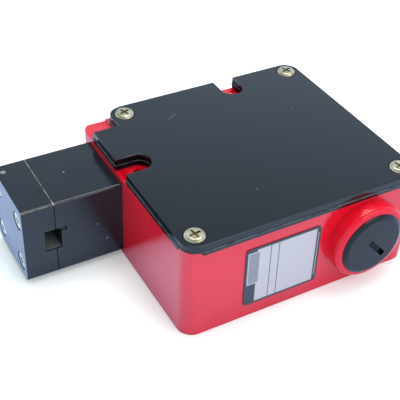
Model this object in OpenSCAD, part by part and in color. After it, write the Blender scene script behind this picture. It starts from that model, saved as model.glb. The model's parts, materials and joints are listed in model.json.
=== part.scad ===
// Key-operated safety interlock switch with a guard-locking solenoid.
// Lengths are millimetres. The origin is the middle of the housing's base, +Z is up.
// +X points from the key head to the far end, and -Y is the side with the key slot and the entry.

/* [Housing] */
// Length of the housing at its base, along X
body_w = 116; // [110:1:130]
// Depth of the housing at its base, along Y
body_d = 104.4; // [101:0.2:116]
// Height of the rim that the lid sits on
body_h = 43.2; // [42:0.2:50]
// Draft of the front, back and far walls over their height
draft = 1.2; // [0.4:0.1:2]
// Wall of the casting at its rim
wall = 3.2; // [2.6:0.1:3.6]
// Floor of the casting
floor_t = 3.2; // [2.6:0.1:4]
// Radius of the upright corners
corner_r = 7; // [6:0.5:8]
// How far the mounting pads lie below the rim
pad_drop = 0.9; // [0.6:0.1:1.4]
// Radius of the screw pads that stand above the rim at three corners
pad_r = 5.5; // [5.2:0.1:6]

/* [Mounting holes] */
// Radius of a mounting hole, for an M5 screw
mount_r = 2.75; // [2.6:0.05:3.2]
// Distance of the near mounting hole from the head wall
mount_a_x = 8.7; // [8.4:0.1:9.2]
// Distance of the near mounting hole from the head's axis
mount_a_off = 16.5; // [16.2:0.1:17.5]
// Distance of the far mounting hole from the far wall
mount_b_off = 40.5; // [34:0.5:46]
// Distance of the far mounting hole from the back rim
mount_b_in = 8; // [7.6:0.1:9]

/* [Lid] */
// Thickness of the lid's plate
lid_t = 3.2; // [2.6:0.1:4]
// Height of the flange under the plate
flange_t = 1.6; // [1.4:0.1:2]
// How far the flange stands out from the plate
ledge = 0.4; // [0.2:0.1:0.8]
// How far the plate overhangs the front and back of the rim
lid_over = 0.5; // [0.3:0.1:1]
// Radius of the open-ended slots over the mounting holes
notch_r = 5.5; // [5:0.1:6]
// Distance of the lid screws from the lid's edges
screw_in = 6.9; // [6.4:0.1:7.5]
// Length of the corner cut-out along X
cut_w = 12.2; // [11:0.2:14]
// Depth of the corner cut-out along Y
cut_d = 14.4; // [13:0.2:16]
// Radius of a lid screw's head
lid_head_r = 4.6; // [4:0.1:4.8]
// Height of a lid screw's head
lid_head_h = 2.4; // [2:0.1:3]
// Radius of a lid screw's shank
lid_screw_r = 1.95; // [1.8:0.05:2]
// Depth of the screw head's recess in the lid
spot_deep = 1.3; // [0.8:0.1:1.6]

/* [Conduit entry] */
// Distance of the entry's axis from the far wall
entry_in = 28.8; // [26:0.2:32]
// How far the entry's axis lies above the middle of the wall
entry_up = 1.6; // [1:0.2:2.2]
// Radius of the raised boss
boss_r = 16.8; // [16:0.1:17.2]
// How far the boss stands out from the base line
boss_h = 5; // [4:0.5:8]
// Radius of the fillet round the boss
boss_fillet = 1.8; // [1:0.1:2]
// Radius of the entry's thread, for M20
entry_r = 9.4; // [9:0.1:10]
// Radius of the plug's head
plug_r = 13.9; // [12:0.1:14.5]
// Thickness of the plug's head
plug_t = 2.8; // [2:0.1:4]
// Length of the plug's stem behind its head
plug_stem = 8; // [6.5:0.5:10]
// Width of the screwdriver slot
plug_slot_w = 2.4; // [1.6:0.1:3]
// Length of the screwdriver slot
plug_slot_l = 12.8; // [10:0.2:16]
// How far the slot's middle lies from the plug's axis
plug_slot_out = 3.3; // [0:0.1:4]
// Depth of the screwdriver slot
plug_slot_d = 1.4; // [1:0.1:1.8]

/* [Rating plate] */
// Length of the plate along X
plate_w = 36.8; // [30:0.2:40]
// Bare wall above and below the plate
plate_margin = 6.4; // [6:0.2:9]
// Radius of the plate's corners
plate_r = 1.8; // [0.5:0.1:3]
// Thickness of the plate
plate_t = 0.4; // [0.3:0.1:0.8]
// Gap between the plate and the boss
plate_gap = 6.2; // [4:0.2:9]

/* [Key head] */
// Depth of the head along Y
head_d = 36; // [35:0.2:38]
// Height of the head
head_h = 37.6; // [36:0.2:38.4]
// Length of the head's body along X
head_l = 31.2; // [30.6:0.2:34]
// Length of the end cap along X
cap_l = 14.6; // [13:0.2:18]
// Distance of the head's axis from the back base line
axis_in = 27.7; // [27:0.1:28.5]
// Height of the head's axis
axis_z = 21; // [20.6:0.1:22]
// Half the distance of the head screws along Y
head_screw_y = 12.2; // [12:0.1:13]
// Half the distance of the head screws along Z
head_screw_z = 11.2; // [10.8:0.1:12]
// Radius of a head screw's shank
head_screw_r = 2; // [1.8:0.1:2.2]
// Radius of a head screw's head
head_screw_head_r = 4; // [3.6:0.1:4.2]
// Depth of a head screw's recess in the cap
head_recess = 4.2; // [3.6:0.1:5]

/* [Key slot] */
// Width of the key slot in the cap
slot_in_cap = 5.1; // [4.8:0.1:6]
// Width of the key slot in the head's body
slot_in_body = 2.5; // [2:0.1:3]
// Height of the key slot
slot_h = 10.9; // [10.5:0.1:11.5]
// Wall that closes the key slot at its far end
slot_end = 3; // [2.5:0.1:5]
// Length of the slot's narrow arm
arm_l = 2.6; // [2:0.1:3]
// Height of the slot's narrow arm
arm_h = 1.9; // [1.5:0.1:2.5]

/* [Cam and plunger] */
// Radius of the cam wheel
cam_r = 11.7; // [11.4:0.1:11.9]
// Distance of the cam's pivot from the housing
cam_x = 19.2; // [19:0.1:19.6]
// Radius of the cam's pivot pin
pin_r = 1.5; // [1.2:0.1:2]
// Radius of the plunger's shaft and of its round nose
plunger_r = 3; // [2.8:0.1:3.2]
// Distance of the nose's centre from the cam's pivot when the key is out
nose_out = 9; // [8.8:0.1:9.4]
// Travel of the plunger when the key goes in
travel = 6; // [5:0.5:6]
// Turn of the cam in degrees for that travel
cam_turn = 60; // [50:5:70]
// Radius of the plunger's collar
collar_r = 6; // [5.5:0.1:6.5]
// Thickness of the plunger's collar
collar_t = 2.4; // [2:0.1:2.6]
// Distance of the collar from the inside of the head wall
collar_gap = 17.5; // [17.2:0.1:18.5]
// Length of the plunger from the collar to its end
plunger_tail = 9; // [8:0.5:10]
// Outer radius of the plunger's bush
bush_r = 5.5; // [5:0.1:6]

/* [Locking solenoid] */
// Radius of the lock bolt
bolt_r = 1.5; // [1.3:0.1:1.6]
// Travel of the lock bolt
bolt_travel = 3; // [2:0.2:3]
// Outer radius of the coil
coil_r = 10.5; // [9:0.5:10.5]
// Free space between the front wall and the armature's disc
armature_room = 11.3; // [9:0.1:14]
// Radius of the armature
armature_r = 4; // [3.5:0.1:5]
// Thickness of the solenoid's steel frame
yoke_t = 2; // [1.5:0.1:3]

/* [Contact block] */
// Length of the contact block along X
block_w = 40; // [39:1:42]
// Depth of the contact block along Y
block_d = 20; // [18:1:20]
// Height of the contact block
block_h = 28; // [26:1:30]
// Wall of the contact block
block_wall = 2; // [1.6:0.1:2.4]
// Height of the pads under the contact block, the solenoid and the terminals
stand_h = 3; // [2:0.5:4]
// Number of contact bridges
bridges = 2; // [1:1:2]

/* [Terminals] */
// Distance from way to way
way_pitch = 7; // [6:0.5:8]
// Height of the terminal strip
strip_h = 15; // [12:1:18]

/* [Fits] */
// Clearance of a running fit, on the radius
run_gap = 0.06; // [0.03:0.01:0.1]
// Clearance of parts that are fitted by hand
hand_gap = 0.3; // [0.2:0.05:0.4]
// Clearance of a screw in its hole, on the radius
screw_gap = 0.25; // [0.2:0.05:0.3]

/* [Hidden] */
$fn = 64;
eps = 0.01;

lid_z = body_h + flange_t;
lid_top = lid_z + lid_t;
rim_w = body_w - draft;
rim_d = body_d - 2 * draft;
lid_x0 = 0.2;
lid_y0 = draft - lid_over;
lid_w = rim_w + 0.1;
lid_d = rim_d + 2 * lid_over;
lid_r = screw_in;
lean = atan(draft / body_h);
pad_z = body_h - pad_drop;
axis_y = body_d - axis_in;
mount_a_y = axis_y - mount_a_off;
mount_b_x = body_w - mount_b_off;
mount_b_y = body_d - draft - mount_b_in;
notch_wall = 2.4;
mount_post_r = notch_r + notch_wall;
corner_post_r = pad_r + 2.9;
screw_a = [lid_x0 + screw_in, lid_y0 + screw_in];
screw_b = [lid_x0 + lid_w - screw_in, lid_y0 + lid_d - screw_in];
screw_c = [screw_b.x, screw_a.y];
screw_d = [lid_x0 + cut_w + screw_in - 0.3, screw_b.y];
cut_x = lid_x0 + cut_w;
cut_y = lid_y0 + lid_d - cut_d;
seal_in = 0.4;
seal_w = 1.6;
seal_t = 1;
lid_screw_l = 14;
m3_r = 1.5;
m3_head_r = 2.75;
m3_head_h = 2;
m3_l = 7;
m3_short = 6;
m3_pad_r = 3.2;
ear_t = 3;
thread_end = 1.2;
entry_x = body_w - entry_in;
entry_z = body_h / 2 + entry_up;
plate_h = body_h - 2 * plate_margin;
plate_x = entry_x - boss_r - plate_gap - plate_w / 2;
plate_z = body_h / 2 + 0.2;

head_wall = wall + 3.4;
head_edge = 1.2;
head_end = head_l + cap_l;
cam_gap = 0.3;
cam_t = slot_h - 2 * cam_gap;
chamber_r = cam_r + 0.5;
slot_z = axis_z - slot_h / 2;
pin_over = 8;
slot_y0 = axis_y - head_d / 2;
arm_deep = 6;
bush_in = 4;
nose_gap = 0.3;
nose_x = nose_out - cam_x;
collar_x = head_wall + collar_gap;
tail_x = collar_x + collar_t + plunger_tail;

bolt_x = collar_x + collar_t + bolt_r + hand_gap;
bolt_tip_y = axis_y - collar_r - 0.5;
bolt_out = 5;
yoke_y1 = bolt_tip_y - bolt_travel - bolt_out;
yoke_half = 10;
yoke_foot_l = 7;
seat_z = floor_t + stand_h;
bobbin_wall = 1;
bobbin_flange = 1.2;
spring_space = 11;
disc_t = 1.5;
yoke_y0 = draft + wall + armature_room + disc_t + spring_space;
coil_l = yoke_y1 - yoke_y0 - 2 * yoke_t;
armature_l = coil_l * 2 / 3;
disc_r = 6;
spring_wire = 0.8;

block_x = tail_x + hand_gap + travel + 2;
block_y = axis_y - block_d / 2;
stem_r = plunger_r - 1;
carriage_gap = 4.2;
carriage_x = block_x + block_wall + carriage_gap;
bridge_in = 4;
bridge_pitch = 9;
bridge_t = 1;
bridge_w = 3;
bridge_half = block_d / 2 - block_wall - 1;
carriage_l = 2 * bridge_in + bridge_t + bridge_pitch * (bridges - 1) + 1;
carriage_half = 4;
carriage_top = 5;
spring_x0 = carriage_x + carriage_l;
spring_x1 = block_x + block_w - block_wall;
open_gap = 0.3;
contact_rise = 6;
cover_t = 2;

block_foot_y = block_y - m3_pad_r - hand_gap;
block_foot_in = 4;
strip_ear = 6.5;
strip_end = 2;
strip_d = 14;
strip_gap = 6;
strip_from = bolt_x + coil_r + strip_ear + strip_gap;
strip_to = rim_w - wall - strip_ear - strip_gap + 2;
ways = floor((strip_to - strip_from - 2 * strip_end) / way_pitch);
strip_w = ways * way_pitch + 2 * strip_end;
strip_x = (strip_from + strip_to - strip_w) / 2;
strip_y = (draft + wall + block_foot_y - m3_pad_r - strip_d) / 2;
way_screw_r = 2;
way_screw_deep = 6;
way_mouth = 4;
earth_r = 1.95;
earth_l = 4.8;
earth_in = 12;
earth_at = [rim_w - wall - earth_in, (strip_y + strip_d + block_foot_y) / 2];

block_feet = [[block_x + block_foot_in, block_foot_y],
              [block_x + block_w - block_foot_in, block_foot_y]];
yoke_feet = [[bolt_x - yoke_half / 2, yoke_y1 + yoke_foot_l / 2],
             [bolt_x + yoke_half / 2, yoke_y1 + yoke_foot_l / 2]];
strip_feet = [[strip_x - strip_ear / 2, strip_y + strip_d / 2],
              [strip_x + strip_w + strip_ear / 2, strip_y + strip_d / 2]];

// The plunger's travel per degree sets how far its round nose has moved out at a turn.
function nose_at(a) = nose_out + travel * a / cam_turn;
function path(a) = nose_at(a) * [cos(a), sin(a)];
// The flank is the nose's path, moved in square to the path by the nose's radius and a gap.
function slope(a) = travel / cam_turn * 180 / PI * [cos(a), sin(a)]
    + nose_at(a) * [-sin(a), cos(a)];
function inward(a) = [-slope(a).y, slope(a).x] / norm(slope(a));
function flank(a) = path(a) + (plunger_r + nose_gap) * inward(a);

// Everything is drawn from the housing's front corner at the head wall, then centred.
module place() {
    translate([-body_w / 2, -body_d / 2, 0])
        children();
}

// An upright block with round corners, made of two slabs and four columns.
module round_block(w, d, h, r) {
    translate([r, 0, 0])
        cube([w - 2 * r, d, h]);
    translate([0, r, 0])
        cube([w, d - 2 * r, h]);
    for (x = [r, w - r], y = [r, d - r])
        translate([x, y, 0])
            cylinder(r = r, h = h);
}

// A cylinder that lies along X from x0 to x1, on the head's axis.
module rod_x(x0, x1, r) {
    translate([x0, axis_y, axis_z])
        rotate([0, 90, 0])
            cylinder(r = r, h = x1 - x0);
}

// A cylinder that lies along Y from y0 to y1, on the solenoid's axis.
module rod_y(y0, y1, r) {
    translate([bolt_x, y1, axis_z])
        rotate([90, 0, 0])
            cylinder(r = r, h = y1 - y0);
}

// A spring as a row of rings on a thin sleeve, with its axis along Z.
module ring_spring(inner_r, wire, length, turns) {
    pitch = (length - wire) / (turns - 1);
    difference() {
        union() {
            for (i = [0 : turns - 1])
                translate([0, 0, i * pitch])
                    cylinder(r = inner_r + wire, h = wire);
            cylinder(r = inner_r + wire * 0.6, h = length);
        }
        translate([0, 0, -eps])
            cylinder(r = inner_r, h = length + 2 * eps);
    }
}

// A pan head with a cross recess, its seat at z = 0 and its shank below.
module pan_screw(head_r, head_h, shank_r, length) {
    recess = head_h * 0.6;
    difference() {
        union() {
            rotate_extrude()
                polygon(concat([[0, 0], [head_r, 0]],
                    [for (a = [0 : 15 : 90]) [head_r - head_h * 0.7 * (1 - cos(a)),
                        head_h * (0.3 + 0.7 * sin(a))]],
                    [[0, head_h]]));
            translate([0, 0, -length])
                cylinder(r = shank_r, h = length + eps);
        }
        for (a = [0, 90])
            rotate(a)
                translate([-head_r * 0.55, -head_r * 0.11, head_h - recess])
                    cube([head_r * 1.1, head_r * 0.22, recess + eps]);
    }
}

// An open-ended slot with a round end, from z0 to z1, that leaves towards -X.
module open_slot(r, reach, z0, z1) {
    translate([0, 0, z0]) {
        cylinder(r = r, h = z1 - z0);
        translate([-reach, -r, 0])
            cube([reach, 2 * r, z1 - z0]);
    }
}

module slot_at_a(r, z0, z1, out) {
    translate([mount_a_x, mount_a_y, 0])
        open_slot(r, mount_a_x - lid_x0 + out, z0, z1);
}

module slot_at_b(r, z0, z1, out) {
    translate([mount_b_x, mount_b_y, 0])
        rotate(-90)
            open_slot(r, lid_y0 + lid_d - mount_b_y + out, z0, z1);
}

// The hollow inside the walls, posts and solid corner, grown by grow on every side.
module hollow(grow, z0, z1) {
    w = rim_w - 2 * (wall - grow);
    d = rim_d - 2 * (wall - grow);
    difference() {
        translate([wall - grow, draft + wall - grow, z0])
            round_block(w, d, z1 - z0, corner_r - wall + grow);
        for (p = [screw_a, screw_b, screw_c, screw_d])
            translate([p.x, p.y, z0 - eps])
                cylinder(r = corner_post_r - grow, h = z1 - z0 + 2 * eps);
        translate([screw_d.x - corner_post_r + grow, screw_d.y, z0 - eps])
            cube([2 * (corner_post_r - grow), body_d, z1 - z0 + 2 * eps]);
        translate([-wall, cut_y - wall + grow, z0 - eps])
            cube([cut_x + 2 * wall - grow, body_d, z1 - z0 + 2 * eps]);
        slot_at_a(mount_post_r - grow, z0 - eps, z1 + eps, wall);
        slot_at_b(mount_post_r - grow, z0 - eps, z1 + eps, wall);
    }
}

// The casting's outside from the base up to top, with its drafted walls.
module body_form(top) {
    inset = draft * top / body_h;
    intersection() {
        round_block(body_w, body_d, top, corner_r);
        translate([0, body_d, 0])
            rotate([90, 0, 0])
                linear_extrude(body_d)
                    polygon([[0, 0], [body_w, 0], [body_w - inset, top], [0, top]]);
        rotate([90, 0, 90])
            linear_extrude(body_w)
                polygon([[0, 0], [body_d, 0], [body_d - inset, top], [inset, top]]);
    }
}

// The three screw pads and the corners outside them, from z0 to z1.
module corner_pads(gap, z0, z1) {
    for (p = [screw_a, screw_b, screw_c])
        translate([p.x, p.y, z0]) {
            cylinder(r = pad_r + gap, h = z1 - z0);
            translate([p == screw_a ? -body_w : -gap, p == screw_b ? -gap : -body_d, 0])
                cube([body_w + gap, body_d + gap, z1 - z0]);
        }
}

// The boss round the entry; its fillet follows the lean of the front wall.
module entry_boss() {
    edge = 0.8;
    foot = boss_r + boss_fillet;
    translate([entry_x, 0, entry_z])
        rotate([90, 0, 0])
            rotate_extrude()
                polygon(concat([[0, -wall - draft], [boss_r, -wall - draft]],
                    [for (a = [0 : 15 : 90]) [boss_r - edge * (1 - cos(a)),
                        boss_h - edge * (1 - sin(a))]],
                    [[0, boss_h]]));
    translate([entry_x, draft * entry_z / body_h + 0.02, entry_z])
        rotate([90 - lean, 0, 0])
            rotate_extrude()
                polygon(concat([[boss_r - 2, -wall / 2], [foot, -wall / 2]],
                    [for (a = [0 : 15 : 75]) [foot - boss_fillet * sin(a),
                        boss_fillet * (1 - cos(a))]],
                    [[boss_r - 2, boss_fillet]]));
}

// Threaded pads on the floor for the contact block, the solenoid and the terminals.
module floor_pads() {
    for (p = concat(block_feet, yoke_feet, strip_feet))
        translate([p.x, p.y, floor_t - eps])
            cylinder(r = m3_pad_r, h = stand_h + eps);
    translate([earth_at.x, earth_at.y, floor_t - eps])
        cylinder(r = m3_pad_r + earth_r, h = stand_h + eps);
}

module housing() {
    color([0.72, 0.05, 0.07])
    place()
        difference() {
            union() {
                difference() {
                    body_form(body_h);
                    hollow(0, floor_t, body_h + eps);
                }
                intersection() {
                    body_form(lid_z);
                    corner_pads(0, body_h - 2, lid_z);
                }
                // thick pad behind the head, for its screws and the plunger's bush
                translate([wall - eps, slot_y0 - 2, floor_t - eps])
                    cube([head_wall - wall + eps, head_d + 4, body_h - floor_t - wall]);
                entry_boss();
                floor_pads();
            }
            // low pads round the mounting holes and at the open corner
            slot_at_a(mount_post_r + 0.2, pad_z, lid_top, wall);
            slot_at_b(mount_post_r + 0.2, pad_z, lid_top, wall);
            translate([-wall, cut_y + ledge + 0.1, pad_z])
                cube([cut_x - ledge - 0.1 + wall, body_d, lid_top]);
            for (p = [[mount_a_x, mount_a_y], [mount_b_x, mount_b_y]])
                translate([p.x, p.y, -eps])
                    cylinder(r = mount_r, h = body_h);
            for (p = [screw_a, screw_b, screw_c, screw_d])
                translate([p.x, p.y, lid_z - lid_screw_l - 1])
                    cylinder(r = lid_screw_r, h = lid_screw_l + 2);
            for (p = concat(block_feet, yoke_feet, strip_feet))
                translate([p.x, p.y, thread_end])
                    cylinder(r = m3_r, h = seat_z);
            translate([earth_at.x, earth_at.y, thread_end])
                cylinder(r = earth_r, h = seat_z);
            rod_x(-eps, head_wall + 1, bush_r);
            for (y = [-head_screw_y, head_screw_y], z = [-head_screw_z, head_screw_z])
                translate([0, y, z])
                    rod_x(-eps, head_wall - thread_end, head_screw_r);
            translate([entry_x, wall + draft + eps, entry_z])
                rotate([90, 0, 0])
                    cylinder(r = entry_r, h = wall + draft + boss_h + 2 * eps);
        }
}

// Outline of the lid's plate or flange, grown by grow, from z0 to z1.
module lid_form(grow, z0, z1) {
    difference() {
        translate([lid_x0 - grow, lid_y0 - grow, z0])
            round_block(lid_w + 2 * grow, lid_d + 2 * grow, z1 - z0, lid_r + grow);
        translate([-wall, cut_y + grow, z0 - eps])
            cube([cut_x - grow + wall, body_d, z1 - z0 + 2 * eps]);
        // round ear at the screw beside the open corner
        difference() {
            translate([cut_x - grow - eps, screw_d.y, z0 - eps])
                cube([screw_d.x - cut_x + grow, body_d, z1 - z0 + 2 * eps]);
            translate([screw_d.x, screw_d.y, z0 - 2 * eps])
                cylinder(r = screw_d.x - cut_x + grow, h = z1 - z0 + 4 * eps);
        }
    }
}

module seal_ring(z0, z1) {
    difference() {
        hollow(seal_in + seal_w, z0, z1);
        hollow(seal_in, z0 - eps, z1 + eps);
    }
}

// The sealing ring runs in the flange, and dips under the walls of the open-ended slots.
module seal_form() {
    seal_ring(body_h, body_h + seal_t);
    intersection() {
        seal_ring(pad_z, body_h + eps);
        union() {
            slot_at_a(mount_post_r - seal_in, pad_z - eps, body_h + 1, wall);
            slot_at_b(mount_post_r - seal_in, pad_z - eps, body_h + 1, wall);
        }
    }
}

module lid() {
    color([0.12, 0.13, 0.15])
    place()
        difference() {
            union() {
                lid_form(0, lid_z, lid_top);
                difference() {
                    lid_form(ledge, body_h, lid_z + eps);
                    corner_pads(hand_gap, body_h - eps, lid_z);
                    hollow(0, body_h - eps, lid_z);
                }
                slot_at_a(mount_post_r, pad_z, lid_z + 1, 0);
                slot_at_b(mount_post_r, pad_z, lid_z + 1, 0);
            }
            slot_at_a(notch_r, pad_z - eps, lid_top + eps, wall);
            slot_at_b(notch_r, pad_z - eps, lid_top + eps, wall);
            seal_form();
            for (p = [screw_a, screw_b, screw_c, screw_d])
                translate([p.x, p.y, body_h - eps]) {
                    cylinder(r = lid_screw_r + screw_gap, h = lid_top);
                    translate([0, 0, lid_top - spot_deep - body_h + eps])
                        cylinder(r = lid_head_r + hand_gap, h = spot_deep + 1);
                }
        }
}

module lid_gasket() {
    color([0.07, 0.07, 0.07])
    place()
        seal_form();
}

module lid_screws() {
    color([0.75, 0.66, 0.36])
    place()
        for (p = [screw_a, screw_b, screw_c, screw_d])
            translate([p.x, p.y, lid_top - spot_deep])
                rotate(p.x)
                    pan_screw(lid_head_r, lid_head_h, lid_screw_r, lid_screw_l);
}

// Moves a form that is drawn along +Z so that it leaves the entry's face towards -Y.
module at_entry() {
    translate([entry_x, -boss_h, entry_z])
        rotate([90, 0, 0])
            children();
}

module plug_seal() {
    color([0.16, 0.16, 0.17])
    place()
        at_entry()
            difference() {
                cylinder(r = entry_r + 2, h = seal_t);
                translate([0, 0, -eps])
                    cylinder(r = entry_r - 0.1, h = seal_t + 2 * eps);
            }
}

module conduit_plug() {
    edge = 0.5;
    color([0.25, 0.28, 0.32])
    place()
        at_entry()
            difference() {
                union() {
                    rotate_extrude()
                        polygon([[0, 0], [plug_r, 0], [plug_r, plug_t - edge],
                            [plug_r - edge, plug_t], [0, plug_t]]);
                    translate([0, 0, -plug_stem])
                        cylinder(r = entry_r - 0.1, h = plug_stem + eps);
                }
                // hollow stem, seal recess and screwdriver slot
                translate([0, 0, -plug_stem - eps])
                    cylinder(r = entry_r - 2, h = plug_stem);
                difference() {
                    translate([0, 0, -eps])
                        cylinder(r = entry_r + 2, h = seal_t + eps);
                    translate([0, 0, -1])
                        cylinder(r = entry_r - 0.1, h = seal_t + 2);
                }
                rotate(-48)
                    translate([plug_slot_out - plug_slot_l / 2, -plug_slot_w / 2, plug_t - plug_slot_d])
                        cube([plug_slot_l, plug_slot_w, plug_slot_d + eps]);
            }
}

module rating_plate() {
    color([0.6, 0.62, 0.63])
    place()
        translate([plate_x, draft * plate_z / body_h, plate_z])
            rotate([90 - lean, 0, 0])
                translate([-plate_w / 2, -plate_h / 2, 0])
                    round_block(plate_w, plate_h, plate_t, plate_r);
}

// A length of the head's outer form from x0 to x1.
module head_form(x0, x1) {
    translate([x0, axis_y - head_d / 2, axis_z - head_h / 2])
        rotate([90, 0, 90])
            round_block(head_d, head_h, x1 - x0, head_edge);
}

// The channel that the key slides along, between the cap and the head's body.
module key_channel() {
    length = head_d - slot_end + 1;
    translate([-head_l - slot_in_cap, slot_y0 - 1, slot_z])
        cube([slot_in_cap + slot_in_body, length, slot_h]);
    translate([-head_l + slot_in_body - eps, slot_y0 - 1, slot_z + slot_h - arm_h])
        cube([arm_l + eps, arm_deep + 1, arm_h]);
    translate([-cam_x, axis_y, slot_z])
        cylinder(r = chamber_r, h = slot_h);
}

module head_holes(x0, x1, r) {
    for (y = [-head_screw_y, head_screw_y], z = [-head_screw_z, head_screw_z])
        translate([0, y, z])
            rod_x(x0, x1, r);
}

module head_body() {
    color([0.16, 0.17, 0.2])
    place()
        difference() {
            head_form(-head_l, 0);
            key_channel();
            head_holes(-head_l - 1, 1, head_screw_r + screw_gap);
            rod_x(-bush_in, 1, bush_r);
            rod_x(-cam_x, 1, plunger_r + hand_gap);
            translate([-cam_x, axis_y, axis_z - head_h / 2 - eps])
                cylinder(r = pin_r, h = (head_h + slot_h) / 2 + pin_over + eps);
        }
}

module head_cap() {
    color([0.14, 0.15, 0.18])
    place()
        difference() {
            head_form(-head_end, -head_l);
            key_channel();
            head_holes(-head_end - 1, -head_l + 1, head_screw_r + screw_gap);
            head_holes(-head_end - 1, -head_end + head_recess, head_screw_head_r + hand_gap);
        }
}

module head_screws() {
    color([0.6, 0.62, 0.64])
    place()
        for (y = [-head_screw_y, head_screw_y], z = [-head_screw_z, head_screw_z])
            translate([-head_end + head_recess, axis_y + y, axis_z + z])
                rotate([0, -90, 0])
                    pan_screw(head_screw_head_r, head_recess - 0.8, head_screw_r,
                        head_end - head_recess + head_wall - 2);
}

module cam_wheel() {
    tongue_w = 5;
    tongue_deep = 4;
    color([0.7, 0.7, 0.68])
    place()
        translate([-cam_x, axis_y, axis_z - cam_t / 2])
            difference() {
                cylinder(r = cam_r, h = cam_t);
                translate([0, 0, -eps])
                    cylinder(r = pin_r + run_gap, h = cam_t + 2 * eps);
                // the flank that drives the plunger, and the round seat for its nose
                translate([0, 0, -eps])
                    linear_extrude(cam_t + 2 * eps)
                        polygon(concat(
                            [for (a = [-90 : -12 : -210]) [nose_out, 0]
                                + (plunger_r + nose_gap) * [cos(a), sin(a)]],
                            [for (a = [0 : 5 : cam_turn]) flank(a)],
                            [for (a = [cam_turn + 6, 28, 8]) 2 * cam_r * [cos(a), sin(a)]],
                            [[2 * cam_r, -plunger_r - nose_gap]]));
                // the seat for the key's tongue
                rotate(225)
                    translate([cam_r - tongue_deep, -tongue_w / 2, -eps])
                        cube([tongue_deep + 1, tongue_w, cam_t + 2 * eps]);
            }
}

module cam_pin() {
    color([0.75, 0.76, 0.78])
    place()
        translate([-cam_x, axis_y, axis_z - head_h / 2])
            cylinder(r = pin_r, h = (head_h + slot_h) / 2 + pin_over);
}

module drive_plunger() {
    color([0.72, 0.73, 0.75])
    place() {
        translate([nose_x, axis_y, axis_z])
            sphere(r = plunger_r);
        rod_x(nose_x, tail_x, plunger_r);
        rod_x(collar_x, collar_x + collar_t, collar_r);
    }
}

module plunger_bush() {
    color([0.7, 0.55, 0.3])
    place()
        difference() {
            rod_x(-bush_in, head_wall, bush_r);
            rod_x(-bush_in - eps, head_wall + eps, plunger_r + run_gap);
        }
}

module block_ears() {
    for (p = block_feet)
        translate([p.x - block_foot_in, p.y - m3_pad_r, seat_z])
            cube([2 * block_foot_in, block_y - p.y + m3_pad_r + eps, ear_t]);
}

module contact_block() {
    color([0.85, 0.84, 0.78])
    place()
        difference() {
            union() {
                translate([block_x, block_y, seat_z])
                    cube([block_w, block_d, block_h]);
                block_ears();
            }
            translate([block_x + block_wall, block_y + block_wall, seat_z + block_wall])
                cube([block_w - 2 * block_wall, block_d - 2 * block_wall, block_h]);
            rod_x(block_x - 1, block_x + block_wall + 1, stem_r + run_gap);
            // slots that hold the fixed contacts
            for (i = [0 : bridges - 1], y = [-1, 1])
                translate([fixed_x(i), axis_y + y * (block_d / 2 - block_wall / 2), seat_z + contact_rise])
                    translate([0, -block_wall, 0])
                        cube([bridge_t, 2 * block_wall, block_h]);
            for (p = block_feet)
                translate([p.x, p.y, seat_z - eps])
                    cylinder(r = m3_r + screw_gap, h = ear_t + 1);
        }
}

function bridge_x(i) = carriage_x + bridge_in + i * bridge_pitch;
function fixed_x(i) = bridge_x(i) - open_gap - bridge_t;

module contact_cover() {
    color([0.3, 0.34, 0.4])
    place()
        translate([block_x, block_y, seat_z + block_h]) {
            cube([block_w, block_d, cover_t]);
            translate([block_wall + hand_gap, block_wall + hand_gap, -1.5])
                difference() {
                    cube([block_w - 2 * (block_wall + hand_gap),
                        block_d - 2 * (block_wall + hand_gap), 1.5 + eps]);
                    translate([1.2, 3, -eps])
                        cube([block_w - 2 * (block_wall + hand_gap) - 2.4,
                            block_d - 2 * (block_wall + hand_gap) - 6, 1.5 + eps]);
                }
        }
}

module contact_carriage() {
    color([0.2, 0.32, 0.5])
    place()
        difference() {
            union() {
                rod_x(tail_x, carriage_x + eps, stem_r);
                translate([carriage_x, axis_y - carriage_half, axis_z - carriage_top])
                    cube([carriage_l, 2 * carriage_half, 2 * carriage_top]);
            }
            for (i = [0 : bridges - 1])
                translate([bridge_x(i), axis_y - carriage_half - 1, axis_z - bridge_w / 2])
                    cube([bridge_t, 2 * carriage_half + 2, bridge_w]);
        }
}

module bridge_contacts() {
    color([0.78, 0.6, 0.35])
    place()
        for (i = [0 : bridges - 1])
            translate([bridge_x(i), axis_y - bridge_half, axis_z - bridge_w / 2])
                cube([bridge_t, 2 * bridge_half, bridge_w]);
}

module fixed_contacts() {
    reach = 4;
    color([0.8, 0.66, 0.42])
    place()
        for (i = [0 : bridges - 1], y = [-1, 1])
            translate([fixed_x(i), axis_y + y * (block_d / 2 - reach / 2), 0]) {
                translate([0, -reach / 2, seat_z + contact_rise])
                    cube([bridge_t, reach, block_h - contact_rise - cover_t]);
            }
}

module carriage_spring() {
    color([0.7, 0.72, 0.74])
    place()
        translate([spring_x0, axis_y, axis_z])
            rotate([0, 90, 0])
                ring_spring(2.2, spring_wire, spring_x1 - spring_x0, 7);
}

module floor_screw(x, y, seat, length) {
    translate([x, y, seat])
        pan_screw(m3_head_r, m3_head_h, m3_r, length);
}

module block_screws() {
    color([0.7, 0.7, 0.72])
    place()
        for (p = block_feet)
            floor_screw(p.x, p.y, seat_z + ear_t, m3_l);
}

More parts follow.
